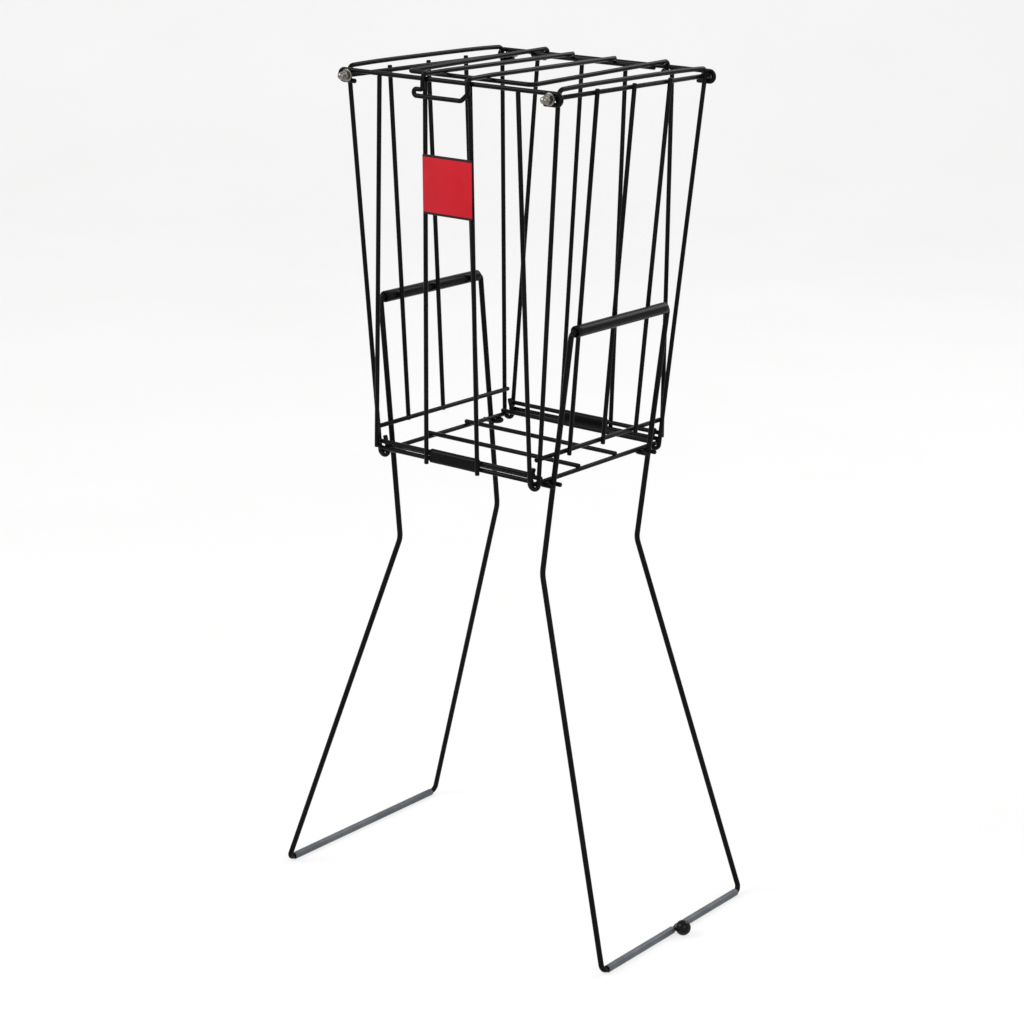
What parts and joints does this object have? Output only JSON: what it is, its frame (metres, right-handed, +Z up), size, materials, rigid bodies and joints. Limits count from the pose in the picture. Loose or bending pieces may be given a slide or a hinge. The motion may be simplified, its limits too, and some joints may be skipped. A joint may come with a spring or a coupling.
{
  "type": "tennis ball hopper",
  "caption": "Tapered wire basket for tennis balls, with a hinged wire lid and latch wire, standing on folding leg loops that swing up to become its carrying handles.",
  "frame": {"origin": "on the floor, under the middle of the whole object's box; the basket's own middle lies 7.2 mm towards -X of it, because the knob stands out on +X", "axes": "+Z up; X across the basket from one leg loop to the other, +X towards the loop with the knob; Y along the foot bars, the latch side looks towards -Y"},
  "size_m": [0.4336, 0.2766, 0.853],
  "materials": {
    "powder_black": "gloss black powder coat on steel wire",
    "zinc_plate": "bright zinc plate",
    "grip_grey": "satin slate-grey vinyl sleeve",
    "knob_black": "gloss black moulded plastic",
    "plate_red": "blank red sheet, semi-gloss"
  },
  "bodies": {
    "basket": {"front_panel": "powder_black", "back_panel": "powder_black", "front_rail": "powder_black", "back_rail": "powder_black", "right_side_panel": "powder_black", "left_side_panel": "powder_black", "floor_grid": "powder_black", "front_floor_band": "powder_black", "back_floor_band": "powder_black", "right_hinge_tube": "powder_black", "left_hinge_tube": "powder_black", "corner_washer_front_left": "zinc_plate", "corner_washer_front_right": "zinc_plate", "corner_washer_back_left": "zinc_plate", "corner_washer_back_right": "zinc_plate", "corner_cap_nut_front_left": "zinc_plate", "corner_cap_nut_front_right": "zinc_plate", "corner_cap_nut_back_left": "zinc_plate", "corner_cap_nut_back_right": "zinc_plate", "name_plate": "plate_red"},
    "lid": {"lid_frame": "powder_black", "lid_latch_wire": "powder_black"},
    "right_leg": {"right_leg_loop": "powder_black", "right_front_grip": "grip_grey", "right_back_grip": "grip_grey", "right_handle_knob": "knob_black"},
    "left_leg": {"left_leg_loop": "powder_black", "left_grip": "grip_grey"}
  },
  "joints": [
    {"name": "lid_hinge", "type": "hinge", "parent": "basket", "child": "lid", "pos_m": [0, 0.12364, 0.8456], "axis": [-1, 0, 0], "range_deg": [0, 240]},
    {"name": "right_leg_hinge", "type": "hinge", "parent": "basket", "child": "right_leg", "pos_m": [0.1104, 0, 0.6184], "axis": [0, -1, 0], "range_deg": [0, 181.3]},
    {"name": "left_leg_hinge", "type": "hinge", "parent": "basket", "child": "left_leg", "pos_m": [-0.12483, 0, 0.6184], "axis": [0, 1, 0], "range_deg": [0, 181.3]}
  ]
}
